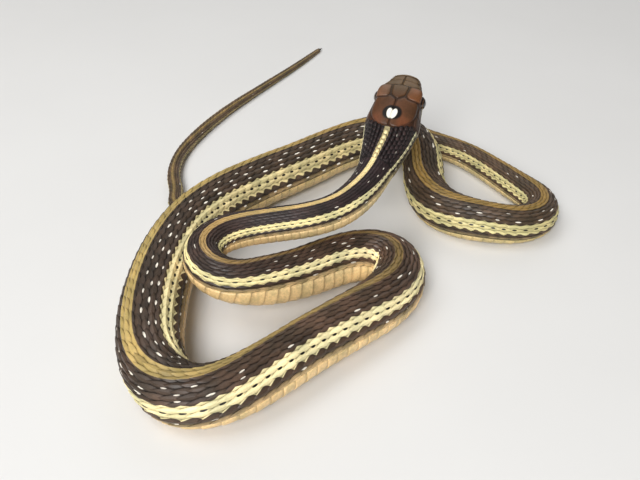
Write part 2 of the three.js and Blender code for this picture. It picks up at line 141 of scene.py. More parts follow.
def along(profile, place):
    """Values at places in rows of [place, value, ...], eased between rows so that none shows as a corner."""
    rows = np.asarray(profile, float)
    place = np.clip(np.asarray(place, float), rows[0, 0], rows[-1, 0])
    x, y = rows[:, 0], rows[:, 1:]
    slope = np.empty_like(y)
    slope[1:-1] = (y[2:] - y[:-2]) / (x[2:] - x[:-2])[:, None]
    slope[0] = (y[1] - y[0]) / (x[1] - x[0])
    slope[-1] = (y[-1] - y[-2]) / (x[-1] - x[-2])
    i = np.clip(np.searchsorted(x, place, side="right") - 1, 0, len(x) - 2)
    span = (x[i + 1] - x[i])[..., None]
    t = (place - x[i])[..., None] / span
    t2, t3 = t * t, t * t * t
    value = (
        (2 * t3 - 3 * t2 + 1) * y[i] + (t3 - 2 * t2 + t) * span * slope[i]
        + (3 * t2 - 2 * t3) * y[i + 1] + (t3 - t2) * span * slope[i + 1]
    )
    return value[..., 0] if y.shape[1] == 1 else value


def smooth_step(low, high, value):
    t = np.clip((value - low) / (high - low), 0, 1)
    return t * t * (3 - 2 * t)


def mixed(first, second, share):
    share = np.clip(np.asarray(share, float), 0, 1)[..., None]
    return first * (1 - share) + second * share


def unit(vectors):
    return vectors / np.maximum(np.linalg.norm(vectors, axis=-1, keepdims=True), 1e-12)


def section(angle, half_width, tallness):
    """The body's cross-section at an angle in radians from the middle of the back: to the left, and up."""
    side, rise = np.sin(angle), np.cos(angle)
    power = 2 / BELLY_ROUNDNESS
    above = rise >= 0
    out = half_width * np.where(above, side, np.sign(side) * np.abs(side) ** power)
    below = -BELLY_DEPTH * np.abs(rise) ** power
    return out, half_width * tallness * np.where(above, rise, below)


def catmull(points, weight):
    """Centripetal curve through four rows of points, between the middle two."""
    p0, p1, p2, p3 = points
    apart = [np.linalg.norm(b - a, axis=-1, keepdims=True) for a, b in zip(points, points[1:])]
    d0, d1, d2 = (np.maximum(np.sqrt(g), 1e-4) for g in apart)
    m1 = ((p1 - p0) / d0 - (p2 - p0) / (d0 + d1) + (p2 - p1) / d1) * d1
    m2 = ((p2 - p1) / d1 - (p3 - p1) / (d1 + d2) + (p3 - p2) / d2) * d1
    w = weight[..., None]
    return p1 + m1 * w + (3 * (p2 - p1) - 2 * m1 - m2) * w**2 + (2 * (p1 - p2) + m1 + m2) * w**3


def trace_body():
    """Rows of distance, place, tangent and bend along the body's middle line."""
    route = np.array([[x - MIDDLE[0], y - MIDDLE[1], z] for x, y, z in ROUTE])
    ends = np.vstack([2 * route[0] - route[1], route, 2 * route[-1] - route[-2]])
    t = np.linspace(0, len(route) - 1, 3001)
    i = np.minimum(t.astype(int), len(route) - 2)
    fine = catmull([ends[i + k] for k in range(4)], t - i)
    length = np.r_[0, np.cumsum(np.linalg.norm(np.diff(fine, axis=0), axis=1))]
    count = round(length[-1] / STEP)
    even = np.linspace(0, length[-1], count + 1)
    points = np.column_stack([np.interp(even, length, fine[:, k]) for k in range(3)])
    for _ in range(SMOOTHING):
        points[1:-1] = (points[:-2] + 2 * points[1:-1] + points[2:]) / 4
    at = np.r_[0, np.cumsum(np.linalg.norm(np.diff(points, axis=0), axis=1))]
    half_width, tallness = along(HALF_WIDTH, at), along(TALLNESS, at)
    lean = np.radians(along(LEAN, at))
    angle = np.radians(np.arange(90, 271, 6))[:, None]
    out, up = section(angle, half_width, tallness)
    reach = np.max(np.sin(lean) * out - np.cos(lean) * up, axis=0)
    points[:, 2] += reach - along(FLOOR_SINK, at) * half_width
    tangent = unit(points[np.r_[1:count + 1, count]] - points[np.r_[0, 0:count]])
    after, before = np.minimum(np.arange(count + 1) + 2, count), np.maximum(np.arange(count + 1) - 2, 0)
    bend = (tangent[after] - tangent[before]) / (at[after] - at[before])[:, None]
    return np.column_stack([at, points, tangent, bend])


BODY = trace_body()
BODY_LENGTH = BODY[-1, 0]


def body_surface(distance, angle, lift):
    """Points on the body at distances along it and angles in degrees, lifted off the solids' surface."""
    distance, angle, lift = np.broadcast_arrays(distance, angle, lift)
    here = along(BODY, distance)
    centre, tangent, bend = here[..., 0:3], unit(here[..., 3:6]), here[..., 6:9]
    upright = unit(np.array([0, 0, 1.0]) - tangent * tangent[..., 2:3])
    level = np.cross(tangent, upright)
    lean = np.radians(along(LEAN, distance))[..., None]
    up = upright * np.cos(lean) + level * np.sin(lean)
    left = level * np.cos(lean) - upright * np.sin(lean)
    half_width = along(HALF_WIDTH, distance) + lift
    out, rise = section(np.radians(angle), half_width, along(TALLNESS, distance))
    offset = left * out[..., None] + up * rise[..., None]
    sharpness = np.maximum(np.linalg.norm(bend, axis=-1), 1e-6)
    inwards = bend / sharpness[..., None]
    reach = np.sum(offset * inwards, axis=-1)
    room = BEND_ROOM / sharpness
    free = room * (1 - BEND_EASE)
    eased = free + (room - free) * np.tanh((reach - free) / (room - free))
    offset += inwards * (np.where(reach > free, eased, reach) - reach)[..., None]
    point = centre + offset
    point[..., 2] = np.maximum(point[..., 2], REST_LIFT - lift)
    return point


def turn(axis, degrees):
    return np.array(Matrix.Rotation(math.radians(degrees), 3, axis))


HEAD_AXES = turn("Z", 90 - HEAD_TURN) @ turn("Y", -HEAD_PITCH)
HEAD_PLACE = along(BODY, NAPE)[0:3]


def head_local(forwards, corner):
    """Points on the head's outline at stations forwards, and at places round it counted in its corners."""
    forwards, corner = np.broadcast_arrays(np.asarray(forwards, float), np.asarray(corner, float))
    lines = along(HEAD_LINES, forwards)
    crown, chin = lines[..., 0], lines[..., 11]
    pairs = [lines[..., k:k + 2] for k in (1, 3, 5, 7, 9)]
    edge, chin_corner = pairs[0], pairs[-1]
    zero = np.zeros_like(crown)
    half = [
        np.stack([edge[..., 0] / 2, crown + (edge[..., 1] - crown) * CROWN_CURVE], -1),
        *pairs,
        np.stack([
            chin_corner[..., 0] / 2, chin_corner[..., 1] + (chin - chin_corner[..., 1]) * CHIN_CURVE], -1),
    ]
    mirrored = [p * [-1, 1] for p in reversed(half)]
    corners = np.stack([np.stack([zero, crown], -1), *half, np.stack([zero, chin], -1), *mirrored], -2)
    place = np.mod(corner, HEAD_CORNERS)
    i = np.floor(place).astype(int)
    picked = [
        np.take_along_axis(corners, ((i + k) % HEAD_CORNERS)[..., None, None], -2)[..., 0, :]
        for k in (-1, 0, 1, 2)
    ]
    return np.concatenate([forwards[..., None], catmull(picked, place - i)], -1)


def head_surface(forwards, corner, lift):
    """Points on the head in the figure's frame, lifted square off its surface."""
    forwards, corner, lift = np.broadcast_arrays(forwards, corner, lift)
    nudge = 0.02
    point = head_local(forwards, corner)
    ahead = np.minimum(forwards + nudge, HEAD_LENGTH)
    lengthways = head_local(ahead, corner) - head_local(forwards - nudge, corner)
    around = head_local(forwards, corner + nudge) - head_local(forwards, corner - nudge)
    normal = unit(np.cross(around, lengthways))
    return (point + normal * lift[..., None]) @ HEAD_AXES.T + HEAD_PLACE


def corner_at(angle):
    """The place round the head that an angle round the nape runs on to."""
    table = np.array(CORNER_ANGLES, float)
    size = np.abs(angle)
    corner = np.interp(np.minimum(size, 360 - size), table[:, 1], table[:, 0])
    return np.where(np.sin(np.radians(angle)) < 0, -corner, corner)


# Across the nape the head's surface and the body's are eased into each other on a fine grid
JOIN_REACH = (-4.0, 10.0)
JOIN_AT = np.linspace(*JOIN_REACH, 141)
JOIN_ANGLES = np.linspace(-180, 180, 145)
JOIN_PASSES = 90


def trace_join():
    """Points and outward directions on a grid across the nape."""
    at, angle = np.meshgrid(JOIN_AT, JOIN_ANGLES, indexing="ij")
    raw = body_surface(np.maximum(at, NAPE), angle, 0.0)
    on_head = at < NAPE
    raw[on_head] = head_surface(NAPE - at[on_head], corner_at(angle[on_head]), 0.0)
    smooth = raw.copy()
    for _ in range(JOIN_PASSES):
        smooth[1:-1] = (smooth[:-2] + 2 * smooth[1:-1] + smooth[2:]) / 4
    share = smooth_step(0, 3, at - JOIN_REACH[0]) * smooth_step(0, 3, JOIN_REACH[1] - at)
    points = mixed(raw, smooth, share)
    along_it = np.gradient(points, axis=0)
    around = np.gradient(points, axis=1)
    around[:, 0] = around[:, -1] = points[:, 1] - points[:, -2]
    return np.concatenate([points, unit(np.cross(along_it, around))], axis=-1)


JOIN = trace_join()


def join_surface(distance, angle, lift):
    down = (distance - JOIN_AT[0]) / (JOIN_AT[1] - JOIN_AT[0])
    across = ((angle + 180) % 360) / (JOIN_ANGLES[1] - JOIN_ANGLES[0])
    i = np.clip(down.astype(int), 0, len(JOIN_AT) - 2)
    j = np.clip(across.astype(int), 0, len(JOIN_ANGLES) - 2)
    s, t = (down - i)[..., None], (across - j)[..., None]
    held = (JOIN[i, j] * (1 - s) + JOIN[i + 1, j] * s) * (1 - t)
    held = held + (JOIN[i, j + 1] * (1 - s) + JOIN[i + 1, j + 1] * s) * t
    return held[..., 0:3] + held[..., 3:6] * lift[..., None]


def surface(distance, angle, lift):
    """Points on the animal at distances along it; those in front of the nape are on the head."""
    distance, angle, lift = np.broadcast_arrays(*(np.asarray(v, float) for v in (distance, angle, lift)))
    point = body_surface(np.maximum(distance, NAPE), angle, lift)
    on_head = distance <= JOIN_REACH[0]
    if on_head.any():
        point[on_head] = head_surface(NAPE - distance[on_head], corner_at(angle[on_head]), lift[on_head])
    joined = (distance > JOIN_REACH[0]) & (distance < JOIN_REACH[1])
    if joined.any():
        point[joined] = join_surface(distance[joined], angle[joined], lift[joined])
    return point


# Distance turned into a count of scales, and back
FRONT = NAPE - HEAD_LENGTH
COUNT_AT = np.linspace(FRONT, BODY_LENGTH, 4000)
COUNTS = np.r_[0, np.cumsum(np.diff(COUNT_AT) / along(SCALE_PITCH, (COUNT_AT[1:] + COUNT_AT[:-1]) / 2))]


def scale_count(distance):
    return np.interp(distance, COUNT_AT, COUNTS)


def distance_of(count):
    return np.interp(count, COUNTS, COUNT_AT)


def linear(red, green, blue):
    """A colour written as on a screen, from 0 to 255, as the linear colour that shaders take."""
    value = np.array([red, green, blue]) / 255
    return np.where(value <= 0.04045, value / 12.92, ((value + 0.055) / 1.055) ** 2.4)


def colours_along(rows):
    """A profile of linear colours from rows of [place, (red, green, blue)]."""
    return [[place, *linear(*colour)] for place, colour in rows]


# Colours along the body: the stripe down the back, the stripe along the side, the dark band between them and
# the belly plates
BACK_STRIPE = colours_along([
    (-6, (252, 238, 184)), (10, (250, 230, 168)), (30, (206, 178, 118)), (70, (134, 108, 68)),
    (92, (130, 106, 66)), (180, (182, 158, 96)), (270, (150, 122, 66)), (514, (150, 128, 84)),
])
SIDE_STRIPE = colours_along([
    (-6, (240, 232, 190)), (35, (232, 218, 158)), (95, (250, 236, 182)), (180, (230, 216, 162)),
    (250, (210, 194, 140)), (295, (218, 206, 148)), (420, (172, 156, 108)), (514, (158, 142, 98)),
])
DARK_BAND = colours_along([
    (-6, (62, 42, 36)), (10, (50, 38, 38)), (60, (66, 52, 44)), (100, (86, 67, 53)), (175, (70, 57, 46)),
    (380, (92, 74, 55)), (514, (100, 82, 60)),
])
BELLY = colours_along([
    (-20, (232, 220, 186)), (0, (230, 214, 168)), (40, (224, 192, 136)), (88, (244, 212, 154)),
    (200, (206, 178, 126)), (300, (210, 188, 132)), (514, (170, 150, 110)),
])
BLACK = linear(22, 17, 15)

# Markings, in rows from the middle of the back: half of the back's stripe, the edges of the side's and of the
# dark band, the pitch of the rows in degrees, and a row beyond every marking
STRIPE_HALF = [
    [-8, 0.6], [4, 0.62], [14, 0.85], [35, 1], [60, 0.95], [75, 0.8], [95, 0.85], [115, 0.92], [145, 1.05],
    [170, 1.12], [514, 1.1],
]
SIDE_TOP = [[-8, 6.6], [9, 6.6], [24, 5.55], [514, 5.55]]
SIDE_FOOT = 7.45
DARK_END = 9.2
MARK_PITCH = [*ROW_PITCH[:6], [514, 11.8]]
UNMARKED_ROW = 12


def signed_row(distance, angle):
    """How many marking rows an angle lies from the middle of the back, below 0 on the right."""
    return ((np.asarray(angle) + 180) % 360 - 180) / along(MARK_PITCH, distance)


def body_tone(distance, row):
    """Base colours without the pale stripes, which the material adds."""
    tone = along(DARK_BAND, distance)
    tone = mixed(tone, along(BELLY, distance) * 0.75, 0.55 * smooth_step(8.3, 8.7, row))
    return mixed(tone, along(BELLY, distance) * 0.85, smooth_step(DARK_END - 0.2, DARK_END + 0.1, row))


def skin_tone(distance, angle):
    """The skin between the scales: black on the flanks, and tan under the belly plates."""
    row = np.abs(signed_row(distance, angle))
    dark = np.broadcast_to(BLACK, (*row.shape, 3))
    return mixed(dark, along(BELLY, distance) * 0.3, smooth_step(8.8, 9.4, row))


def placed(name, data):
    """A new object in the scene."""
    made = bpy.data.objects.new(name, data)
    bpy.context.scene.collection.objects.link(made)
    return made


def make_mesh(name, points, faces, tone, lie=None, bake=None, pale=None):
    """A mesh object from points in millimetres, faces as arrays of corners, and values for each point."""
    mesh = bpy.data.meshes.new(name)
    corners = np.concatenate([np.asarray(f).ravel() for f in faces]).astype(np.int32)
    sizes = np.concatenate([np.full(len(f), np.shape(f)[1]) for f in faces])
    mesh.vertices.add(len(points))
    mesh.vertices.foreach_set("co", (np.asarray(points, np.float32) * MM).ravel())
    mesh.loops.add(len(corners))
    mesh.loops.foreach_set("vertex_index", corners)
    mesh.polygons.add(len(sizes))
    mesh.polygons.foreach_set("loop_start", np.r_[0, np.cumsum(sizes)[:-1]].astype(np.int32))
    mesh.update(calc_edges=True)
    mesh.validate()
    mesh.polygons.foreach_set("use_smooth", np.ones(len(mesh.polygons), bool))
    tone = np.column_stack([tone, np.ones(len(points))])
    for key, values, kind, field in (
            ("Tone", tone, "FLOAT_COLOR", "color"), ("Pale", pale, "FLOAT_COLOR", "color"),
            ("Lie", lie, "FLOAT_VECTOR", "vector")):
        if values is not None:
            held = mesh.attributes.new(key, kind, "POINT")
            held.data.foreach_set(field, np.asarray(values, np.float32).ravel())
    if bake is not None:
        layer = mesh.uv_layers.new(name="OFBake")
        layer.data.foreach_set("uv", np.asarray(bake, np.float32)[corners].ravel())
    return placed(name, mesh)


def tube_faces(rings, sides, count=1):
    """Faces of closed tubes: rings of points, then a point that closes the first ring and one the last."""
    side = np.arange(sides)
    after = (side + 1) % sides
    ring = np.arange(rings - 1)[:, None] * sides
    quads = np.stack([ring + sides + side, ring + sides + after, ring + after, ring + side], -1)
    last, pole = (rings - 1) * sides, np.full(sides, rings * sides)
    caps = np.concatenate([
        np.stack([pole, side, after], -1), np.stack([pole + 1, last + after, last + side], -1)])
    shift = np.arange(count)[:, None, None] * (rings * sides + 2)
    return (quads.reshape(-1, 4) + shift).reshape(-1, 4), (caps + shift).reshape(-1, 3)


BAKE_STRIPS = 8
BAKE_PATCH = 0.003


def bake_place(distance, angle):
    """Place on an unwrap of the skin: its length in strips side by side, each as wide as the way round."""
    along_strips = (np.asarray(distance) - FRONT) / (BODY_LENGTH - FRONT) * BAKE_STRIPS
    strip = np.clip(np.floor(along_strips), 0, BAKE_STRIPS - 1)
    turned = ((np.asarray(angle) + 180) % 360) / 360
    return np.stack([0.01 + 0.98 * (along_strips - strip), (strip + 0.02 + 0.96 * turned) / BAKE_STRIPS], -1)


# How many of the white flecks show along the body, from none at 0 to all at 1
FLECKS_ALONG = [
    [-8, 0], [2, 0], [7, 0.3], [20, 0.15], [52, 0.15], [92, 0.5], [104, 0.5], [112, 0.25], [138, 0.35],
    [150, 0.9], [160, 1], [236, 1], [250, 0.6], [262, 0.3], [300, 0.2], [345, 0.1], [400, 0.04], [514, 0],
]


def lie_of(count, distance, angle):
    """Places for the markings: scales along, signed rows round, and how many flecks show."""
    return np.stack([count, signed_row(distance, angle), along(FLECKS_ALONG, distance)], -1)


def unmarked(count):
    """Places for the markings that keep clear of them all."""
    return np.stack([count, np.full_like(count, UNMARKED_ROW), np.zeros_like(count)], -1)


def pale_of(distance, row, edge=1.0):
    """The nearer stripe's colour, the back's or the side's, and a tenth of the row where that one ends."""
    near_back = np.abs(row) < 3
    colour = np.where(near_back[..., None], along(BACK_STRIPE, distance), along(SIDE_STRIPE, distance)) * edge
    limit = np.where(near_back, along(STRIPE_HALF, distance), along(SIDE_TOP, distance)) / 10
    return np.concatenate([colour, limit[..., None]], axis=-1)


# Skin: its depth under the solids' surface is a share of the scales' pitch
SKIN_DEPTH = 0.075
SKIN_STRIPES_FROM = 2.6
SKIN_SIDES = 80
SKIN_STEP = 0.66
GROOVE_DEPTH = 0.3
GROOVE_HALF = 0.118


def angle_of(corner):
    """The angle round the nape, in degrees, of a place round the head."""
    table = np.array(CORNER_ANGLES, float)
    folded = np.mod(corner, HEAD_CORNERS)
    half = np.interp(np.minimum(folded, HEAD_CORNERS - folded), table[:, 0], table[:, 1])
    return np.where(folded > HEAD_CORNERS / 2, -half, half)


def mouth_corner(forwards):
    """Where round the head the mouth line runs, counted in corners."""
    lines = along(HEAD_LINES, forwards)
    lip, jaw = lines[..., 6], lines[..., 8]
    return 4 + (lip - along(MOUTH_LINE, forwards)) / (lip - jaw)


def over_head(forwards, corner, lift):
    """Points over the head, which run on to the joined surface at its back."""
    points = head_surface(forwards, corner, lift)
    crossing = NAPE - forwards > JOIN_REACH[0]
    points[crossing] = surface(NAPE - forwards[crossing], angle_of(corner[crossing]), lift[crossing])
    return points


def make_skin():
    stations = np.r_[HEAD_LENGTH, HEAD_LENGTH - 0.04, np.arange(HEAD_LENGTH - 0.1, 0.1, -0.13)]
    corners = np.linspace(0, HEAD_CORNERS, SKIN_SIDES, endpoint=False)
    forwards, corner = np.meshgrid(stations, corners, indexing="ij")
    folded = np.minimum(corner, HEAD_CORNERS - corner)
    groove = GROOVE_DEPTH * np.exp(-(((folded - mouth_corner(forwards)) / GROOVE_HALF) ** 2))
    groove = groove * (forwards > MOUTH_LINE[0][0])
    head = over_head(forwards, corner, -SKIN_DEPTH * along(SCALE_PITCH, NAPE - forwards) - groove)
    ends = BODY_LENGTH - np.array([2.2, 1.4, 0.7, 0.2, 0])
    distances = np.r_[np.arange(NAPE, BODY_LENGTH - 2.5, SKIN_STEP), ends]
    even = np.linspace(0, 360, SKIN_SIDES, endpoint=False)
    angles = mixed(np.mod(angle_of(corners), 360), even, smooth_step(NAPE, NAPE + 15, distances))
    spread = np.broadcast_to(distances[:, None], angles.shape)
    body = surface(spread, angles, -SKIN_DEPTH * along(SCALE_PITCH, spread))
    tip = smooth_step(0, 2.4, BODY_LENGTH - distances)[:, None, None]
    middle = body.mean(axis=1, keepdims=True)
    body = middle + (body - middle) * (0.12 + 0.88 * tip)
    grid = np.concatenate([head, body])
    points = np.vstack([grid.reshape(-1, 3), grid[0].mean(axis=0), grid[-1].mean(axis=0)])
    distance = np.concatenate([NAPE - forwards, spread]).ravel()
    angle = np.concatenate([angle_of(corner), angles]).ravel()
    tone = skin_tone(distance, angle)
    local = head_local(forwards, corner).reshape(-1, 3)
    tone[:len(local)] = head_skin_tone(local, folded.ravel())
    distance, angle, tone = (np.concatenate([v, v[:1], v[-1:]]) for v in (distance, angle, tone))
    pale = pale_of(distance, signed_row(distance, angle), 0.35)
    unstriped = distance < SKIN_STRIPES_FROM
    pale[unstriped] = np.column_stack([tone, np.zeros(len(tone))])[unstriped]
    return make_mesh("snake_skin", points, tube_faces(len(grid), SKIN_SIDES), tone,
                     lie_of(scale_count(distance), distance, angle), bake_place(distance, angle), pale)


# Scales: how far each reaches along in scale pitches, its half-width on the way in rows, and its relief as a
# share of the pitch
SCALE_START = -0.5
SCALE_REACH = 1.42
SCALE_WIDTHS = [[0, 0.25], [0.2, 0.5], [0.4, 0.61], [0.55, 0.59], [0.75, 0.42], [0.9, 0.22], [1, 0.05]]
SCALE_ALONG = np.array([0, 0.14, 0.28, 0.42, 0.56, 0.7, 0.83, 0.94, 1])
SCALE_ACROSS = np.array([-1, -0.8, -0.4, -0.1, 0, 0.1, 0.4, 0.8, 1])
SCALE_LIE = 0.085
SCALE_CAMBER = 0.035
SCALE_KEEL = 0.036
SCALE_RIM = 0.024
PLATE_ROOT = -SKIN_DEPTH - 0.05
# How much each scale darkens towards its sides, which are its own darker edges, and towards its base, which
# is painted shade where the scale before lies over it
EDGE_SHADE = 0.6
RELIEF_ALONG = [[-8, 0.5], [14, 0.62], [50, 0.85], [90, 1], [514, 1]]
STRIPE_SHADE = [[-8, 0.12], [30, 0.2], [60, 0.4], [90, 0.62], [514, 0.65]]
FIRST_SCALES = [[0, 2.75], [1, 2.7], [2, 2.3], [3, 1.55], [4, 0.75], [5, 0.45], [7, 0.4], [8, 0.6], [9, 1.1]]
PIECE_SCALES = 1200


def plate_faces(count, rows, columns, offset=0):
    """Faces of many like plates, each a grid of points followed by one point under it."""
    size = rows * columns + 1
    grid = np.arange(rows * columns).reshape(rows, columns)
    quads = np.stack([grid[:-1, :-1], grid[1:, :-1], grid[1:, 1:], grid[:-1, 1:]], -1).reshape(-1, 4)
    rim = np.r_[grid[0, :-1], grid[:-1, -1], grid[-1, :0:-1], grid[:0:-1, 0]]
    under = np.stack([np.full(len(rim), size - 1), rim, np.roll(rim, -1)], -1)
    shift = offset + np.arange(count)[:, None, None] * size
    return (quads + shift).reshape(-1, 4), (under + shift).reshape(-1, 3)


def plate_values(a, b, distance, angle, lift, size, root, tone, lie, *pale):
    """Values for the points of many like plates, each a grid of points followed by one point under it."""
    i, j = a.shape[1] // 2, b.shape[2] // 2
    points = surface(distance, angle, lift * size)
    under = surface(distance[:, i, j], angle[:, i, j], PLATE_ROOT * size[:, 0, 0])
    patch = np.stack(np.broadcast_arrays(a - 0.5, b / 2), -1) * BAKE_PATCH
    found = []
    for values in (points, np.clip(tone, 0, 1), lie, root[:, None, None] + patch, *pale):
        last = values[:, i, j] if found else under
        width = values.shape[-1]
        joined = np.concatenate([values.reshape(len(values), -1, width), last[:, None]], axis=1)
        found.append(joined.reshape(-1, width))
    return found


def sunk_rim(a, b):
    """How far the outermost points of a plate lie below the rest."""
    return np.where((np.abs(b) > 0.99) | (a > 0.99) | (a < 0.01), -SCALE_RIM, 0)


def place_scales():
    """Distance, count along and row of every scale on the back and flanks."""
    found = []
    last = int(COUNTS[-1] - 2)
    for row in range(-9, 10):
        counts = np.arange(2, last) + 0.5 * (row % 2)
        distance = distance_of(counts)
        angle = np.abs(row) * along(ROW_PITCH, distance)
        edge = along(BELLY_EDGE, distance)
        first = along(FIRST_SCALES, abs(row))
        keep = (angle < edge - 0.3 * along(ROW_PITCH, distance)) & (distance > first)
        found.append(np.column_stack([distance[keep], counts[keep], np.full(keep.sum(), row)]))
    scales = np.concatenate(found)
    return scales[np.argsort(scales[:, 0], kind="stable")]


def scale_block(scales):
    """Points, colours and places of the scales' plates, one grid each with a point under it."""
    count = len(scales)
    at, number, row = (scales[:, k, None, None] for k in range(3))
    a = SCALE_ALONG[None, :, None]
    b = SCALE_ACROSS[None, None, :]
    size = along(SCALE_PITCH, at)
    skew = RNG.normal(0, 0.02, count)[:, None, None]
    counted = number + skew + SCALE_START + SCALE_REACH * a + 0 * b
    distance = np.minimum(distance_of(counted), BODY_LENGTH - 0.2)
    own_width = RNG.normal(1, 0.03, count)[:, None, None]
    rows_round = row + b * along(SCALE_WIDTHS, a) * own_width
    angle = rows_round * along(ROW_PITCH, distance)
    keel = np.where(np.abs(row) < 8.5, SCALE_KEEL, 0.3 * SCALE_KEEL) * np.exp(-((b / 0.16) ** 2))
    keel = keel * smooth_step(0.05, 0.3, a) * smooth_step(1.05, 0.85, a)
    ragged = RNG.normal(0, 0.006, count)[:, None, None] * a
    relief = SCALE_LIE * a + SCALE_CAMBER * (1 - b**2) + keel + sunk_rim(a, b) + ragged
    lift = -SKIN_DEPTH - 0.02 + relief * along(RELIEF_ALONG, at)
    exact = np.abs(signed_row(distance, angle))
    shade = np.exp(RNG.normal(0, 0.14, count))[:, None, None, None]
    # Darker towards the sides, which are the scale's own edges, and towards the base, which is painted shade
    # under the scale before
    edges_and_shaded_base = np.maximum(smooth_step(0.62, 1, np.abs(b) + 0 * a), smooth_step(0.3, 0.05, a + 0 * b))
    edge = shade * (1 - EDGE_SHADE * edges_and_shaded_base[..., None])
    share = along(STRIPE_SHADE, distance)[..., None]
    pale = pale_of(distance, exact, 1 - share + share * edge)
    root = bake_place(at[:, 0, 0], (row * along(ROW_PITCH, at))[:, 0, 0])
    return plate_values(
        a, b, distance, angle, lift, size, root, body_tone(distance, exact) * edge,
        lie_of(counted, distance, angle), pale)


def make_scales():
    """The scales in pieces, the tail's apart from the body's, with each piece's slot."""
    scales = place_scales()
    on_tail = scales[:, 0] >= VENT
    pieces = []
    for slot, chosen in (("body_skin", scales[~on_tail]), ("tail_skin", scales[on_tail])):
        for part in np.array_split(chosen, math.ceil(len(chosen) / PIECE_SCALES)):
            values = scale_block(part)
            faces = plate_faces(len(part), len(SCALE_ALONG), len(SCALE_ACROSS))
            name = f"{slot.split('_')[0]}_scales_{len(pieces) + 1}"
            pieces.append((make_mesh(name, values[0], faces, *values[1:]), slot))
    return pieces


# Belly plates
BELLY_ALONG = np.array([0, 0.2, 0.45, 0.7, 0.88, 0.97, 1])
BELLY_ACROSS = np.linspace(-1, 1, 33)
BELLY_REACH = 1.25
BELLY_START = 0.6
BELLY_FIRST = -1.2
BELLY_LIE = 0.075
BELLY_BASE = 0.012


def belly_block(numbers, half):
    """Belly plates across the whole belly, or across one half of it where half is 1 or -1."""
    count = len(numbers)
    number = numbers[:, None, None]
    a = BELLY_ALONG[None, :, None]
    b = BELLY_ACROSS[None, None, :]
    at = distance_of(number)
    round_end = 0.55 * (np.abs(b) if half == 0 else np.abs((b + 1) / 2)) ** 6
    counted = number + (a - 0.35) * BELLY_REACH - 0.35 * round_end * (1 - a) + 0 * b
    distance = np.clip(distance_of(counted), BELLY_FIRST, BODY_LENGTH - 0.3)
    edge = along(BELLY_EDGE, distance) - 1
    share = b if half == 0 else half * (0.02 + 0.98 * (b + 1) / 2)
    angle = 180 + share * (180 - edge)
    size = along(SCALE_PITCH, at)
    tip = 1 - 0.35 * a * (np.abs(share) > 0.97)
    lift = -SKIN_DEPTH + BELLY_LIE * a * tip + BELLY_BASE + sunk_rim(a, b) * 1.2
    shade = np.exp(RNG.normal(0, 0.05, count))[:, None, None, None]
    # Each plate is painted darker towards its base in the dark band's colour: painted shade where the plate
    # before lies over it, stronger at the sides
    side_share = smooth_step(0.84, 0.99, np.abs(share) + 0 * a)
    dark = smooth_step(0.34, 0.16, a + 0 * b) * (0.35 + 0.5 * side_share)
    tone = mixed(along(BELLY, distance) * shade, along(DARK_BAND, distance), dark)
    root = bake_place(at[:, 0, 0], np.full(count, 180.0 + half * 8))
    return plate_values(a, b, distance, angle, lift, size, root, tone, unmarked(counted))


def make_belly():
    vent = scale_count(VENT)
    whole = np.arange(np.ceil(scale_count(BELLY_START)), vent)
    paired = np.arange(np.ceil(vent), COUNTS[-1] - 1.5)
    blocks = [belly_block(whole, 0), belly_block(paired, 1), belly_block(paired, -1)]
    faces, offset = [], 0
    for block in blocks:
        count = len(block[0]) // (len(BELLY_ALONG) * len(BELLY_ACROSS) + 1)
        faces += plate_faces(count, len(BELLY_ALONG), len(BELLY_ACROSS), offset)
        offset += len(block[0])
    values = [np.concatenate([block[k] for block in blocks]) for k in range(4)]
    return make_mesh("belly_plates", values[0], faces, *values[1:])


# Head colours, from places on the head: forwards, out to the left, up
CROWN_BROWN = linear(82, 53, 33)
SNOUT_OLIVE = linear(96, 73, 42)
NAPE_RED = linear(112, 66, 42)
LABIAL_PALE = linear(232, 220, 186)
# The left brow's colour is pinker than the right's: a painted highlight
LEFT_BROW_HIGHLIGHT = linear(118, 84, 62)
BROW_RIGHT = linear(120, 74, 44)
TEMPLE = linear(64, 42, 30)
# Painted shade for the crease of the mouth's line
MOUTH_LINE_SHADE = linear(42, 26, 22)
SUTURE_SHADE = 0.36


def crown_tone(local):
    """Colour on the top of the head, with a painted highlight on the left brow."""
    forwards, out = local[..., 0], local[..., 1]
    tone = mixed(CROWN_BROWN, SNOUT_OLIVE, smooth_step(7.5, 14, forwards))
    rear = smooth_step(5.2, 2.2, forwards + 0.35 * (np.abs(out) - 2)) * smooth_step(0.9, 2.2, np.abs(out))
    tone = mixed(tone, NAPE_RED, 0.8 * rear)
    # The brows are lighter and orange-tan; the left one is pinker, with a painted highlight
    brow = smooth_step(1.7, 2.8, np.abs(out)) * smooth_step(2.4, 1.3, np.abs(forwards - 10.4))
    tone = mixed(tone, LEFT_BROW_HIGHLIGHT, 0.7 * brow * (out > 0))
    return mixed(tone, BROW_RIGHT, 0.7 * brow * (out < 0))


def head_tone(local, corner):
    """Colour anywhere on the head, from places on it and how far round it they are in corners."""
    tone = mixed(crown_tone(local), TEMPLE, smooth_step(2.15, 2.7, corner))
    return mixed(tone, LABIAL_PALE, smooth_step(3.5, 3.72, corner))


def head_skin_tone(local, corner):
    """The skin between the shields, which is darker than they are, with painted shade in the mouth's line and
    in the nostril.
    """
    tone = head_tone(local, corner) * 0.4
    tone = mixed(tone, LABIAL_PALE * 0.8, smooth_step(5.2, 5.6, corner))
    # Painted shade in the crease of the mouth's line
    mouth = np.abs(corner - mouth_corner(local[..., 0])) < 0.16
    tone[mouth & (local[..., 0] > MOUTH_LINE[0][0])] = MOUTH_LINE_SHADE
    # The nostril's opening is painted black: painted shade inside it
    from_nostril = np.hypot(local[..., 0] - NOSTRIL_PLACE[0], local[..., 2] - NOSTRIL_PLACE[2])
    tone[(from_nostril < NOSTRIL_RADIUS + 0.1) & (corner < 4)] = BLACK
    return tone


